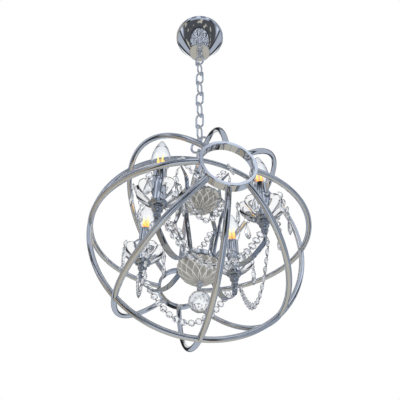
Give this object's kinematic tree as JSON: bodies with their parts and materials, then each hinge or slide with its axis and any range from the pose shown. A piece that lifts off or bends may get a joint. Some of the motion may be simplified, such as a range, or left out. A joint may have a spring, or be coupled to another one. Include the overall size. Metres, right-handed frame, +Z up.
{
  "type": "orb chandelier",
  "caption": "Chrome orb cage of round tubes hung from a canopy and chain, holding a small crystal chandelier with candle lamps, glass dishes, faceted bowls, bead swags and a ball drop.",
  "frame": {"origin": "centre of the ceiling bar's top face, in the plane of the ceiling, on the lamp's vertical axis", "axes": "+Z up into the ceiling, +Y from the front hoop to the back hoop along the orb's own axis, +X to the right seen from the front hoop"},
  "size_m": [0.4, 0.396, 0.852],
  "materials": {
    "zinc_steel": "bright zinc",
    "chrome": "polished chrome plate on steel and brass",
    "crystal": "clear cut crystal",
    "bulb_glass": "clear blown glass",
    "bulb_cap": "pressed brass cap",
    "holder": "dark moulded lampholder"
  },
  "bodies": {
    "ceiling_fixing": {"ceiling_crossbar": "zinc_steel", "threaded_nipple": "zinc_steel", "nipple_locknut": "zinc_steel", "canopy": "chrome", "canopy_loop": "chrome"},
    "quick_link_body": {"quick_link": "chrome"},
    "chain_link_1_body": {"chain_link_1": "chrome"},
    "chain_link_2_body": {"chain_link_2": "chrome"},
    "chain_link_3_body": {"chain_link_3": "chrome"},
    "chain_link_4_body": {"chain_link_4": "chrome"},
    "chain_link_5_body": {"chain_link_5": "chrome"},
    "chain_link_6_body": {"chain_link_6": "chrome"},
    "chain_link_7_body": {"chain_link_7": "chrome"},
    "hanging_ring_body": {"hanging_ring": "chrome"},
    "orb_frame": {"hanger_stem": "chrome", "equator_ring": "chrome", "front_arcs": "chrome", "back_arcs": "chrome", "front_hoop": "chrome", "back_hoop": "chrome", "upper_hub": "chrome", "upper_bowl_screw": "chrome", "basket_strap_1": "chrome", "basket_strap_2": "chrome", "basket_strap_3": "chrome", "basket_strap_4": "chrome", "lower_hub": "chrome", "arm_1": "chrome", "arm_2": "chrome", "arm_3": "chrome", "arm_4": "chrome", "bowl_finial": "chrome", "arm_cups": "chrome", "petal_cups": "chrome", "candle_sleeve_1": "chrome", "candle_sleeve_2": "chrome", "candle_sleeve_3": "chrome", "candle_sleeve_4": "chrome", "upper_bowl": "crystal", "lower_bowl": "crystal", "glass_bobeche_1": "crystal", "glass_bobeche_2": "crystal", "glass_bobeche_3": "crystal", "glass_bobeche_4": "crystal", "crown_garlands": "crystal", "bowl_garlands": "crystal", "arm_garlands": "crystal", "crystal_drops": "crystal", "lampholders": "holder"},
    "bulb_1": {"bulb_cap_1": "bulb_cap", "bulb_glass_1": "bulb_glass"},
    "bulb_2": {"bulb_cap_2": "bulb_cap", "bulb_glass_2": "bulb_glass"},
    "bulb_3": {"bulb_cap_3": "bulb_cap", "bulb_glass_3": "bulb_glass"},
    "bulb_4": {"bulb_cap_4": "bulb_cap", "bulb_glass_4": "bulb_glass"},
    "ball_drop": {"crystal_ball": "crystal"}
  },
  "joints": [
    {"name": "quick_link_swing", "type": "hinge", "parent": "ceiling_fixing", "child": "quick_link_body", "pos_m": [0, 0, -0.0905], "axis": [0.7071, 0.7071, 0], "range_deg": [-20, 20]},
    {"name": "chain_link_1_swing", "type": "hinge", "parent": "quick_link_body", "child": "chain_link_1_body", "pos_m": [0, 0, -0.12395], "axis": [0.7071, -0.7071, 0], "range_deg": [-20, 20]},
    {"name": "chain_link_2_swing", "type": "hinge", "parent": "chain_link_1_body", "child": "chain_link_2_body", "pos_m": [0, 0, -0.16285], "axis": [0.7071, 0.7071, 0], "range_deg": [-20, 20]},
    {"name": "chain_link_3_swing", "type": "hinge", "parent": "chain_link_2_body", "child": "chain_link_3_body", "pos_m": [0, 0, -0.20185], "axis": [0.7071, -0.7071, 0], "range_deg": [-20, 20]},
    {"name": "chain_link_4_swing", "type": "hinge", "parent": "chain_link_3_body", "child": "chain_link_4_body", "pos_m": [0, 0, -0.24085], "axis": [0.7071, 0.7071, 0], "range_deg": [-20, 20]},
    {"name": "chain_link_5_swing", "type": "hinge", "parent": "chain_link_4_body", "child": "chain_link_5_body", "pos_m": [0, 0, -0.27985], "axis": [0.7071, -0.7071, 0], "range_deg": [-20, 20]},
    {"name": "chain_link_6_swing", "type": "hinge", "parent": "chain_link_5_body", "child": "chain_link_6_body", "pos_m": [0, 0, -0.31885], "axis": [0.7071, 0.7071, 0], "range_deg": [-20, 20]},
    {"name": "chain_link_7_swing", "type": "hinge", "parent": "chain_link_6_body", "child": "chain_link_7_body", "pos_m": [0, 0, -0.35785], "axis": [0.7071, -0.7071, 0], "range_deg": [-20, 20]},
    {"name": "hanging_ring_swing", "type": "hinge", "parent": "chain_link_7_body", "child": "hanging_ring_body", "pos_m": [0, 0, -0.39685], "axis": [0.7071, 0.7071, 0], "range_deg": [-20, 20]},
    {"name": "orb_swing", "type": "hinge", "parent": "hanging_ring_body", "child": "orb_frame", "pos_m": [0, 0, -0.4329], "axis": [0.7071, -0.7071, 0], "range_deg": [-20, 20]},
    {"name": "bulb_1_turn", "type": "hinge", "parent": "orb_frame", "child": "bulb_1", "pos_m": [0.09016, 0.09016, -0.622], "axis": [0, 0, 1], "range_deg": [0, 1080]},
    {"name": "bulb_2_turn", "type": "hinge", "parent": "orb_frame", "child": "bulb_2", "pos_m": [-0.09016, 0.09016, -0.622], "axis": [0, 0, 1], "range_deg": [0, 1080]},
    {"name": "bulb_3_turn", "type": "hinge", "parent": "orb_frame", "child": "bulb_3", "pos_m": [-0.09016, -0.09016, -0.622], "axis": [0, 0, 1], "range_deg": [0, 1080]},
    {"name": "bulb_4_turn", "type": "hinge", "parent": "orb_frame", "child": "bulb_4", "pos_m": [0.09016, -0.09016, -0.622], "axis": [0, 0, 1], "range_deg": [0, 1080]},
    {"name": "ball_swing", "type": "hinge", "parent": "orb_frame", "child": "ball_drop", "pos_m": [0, 0, -0.761], "axis": [1, 0, 0], "range_deg": [-35, 35]}
  ]
}
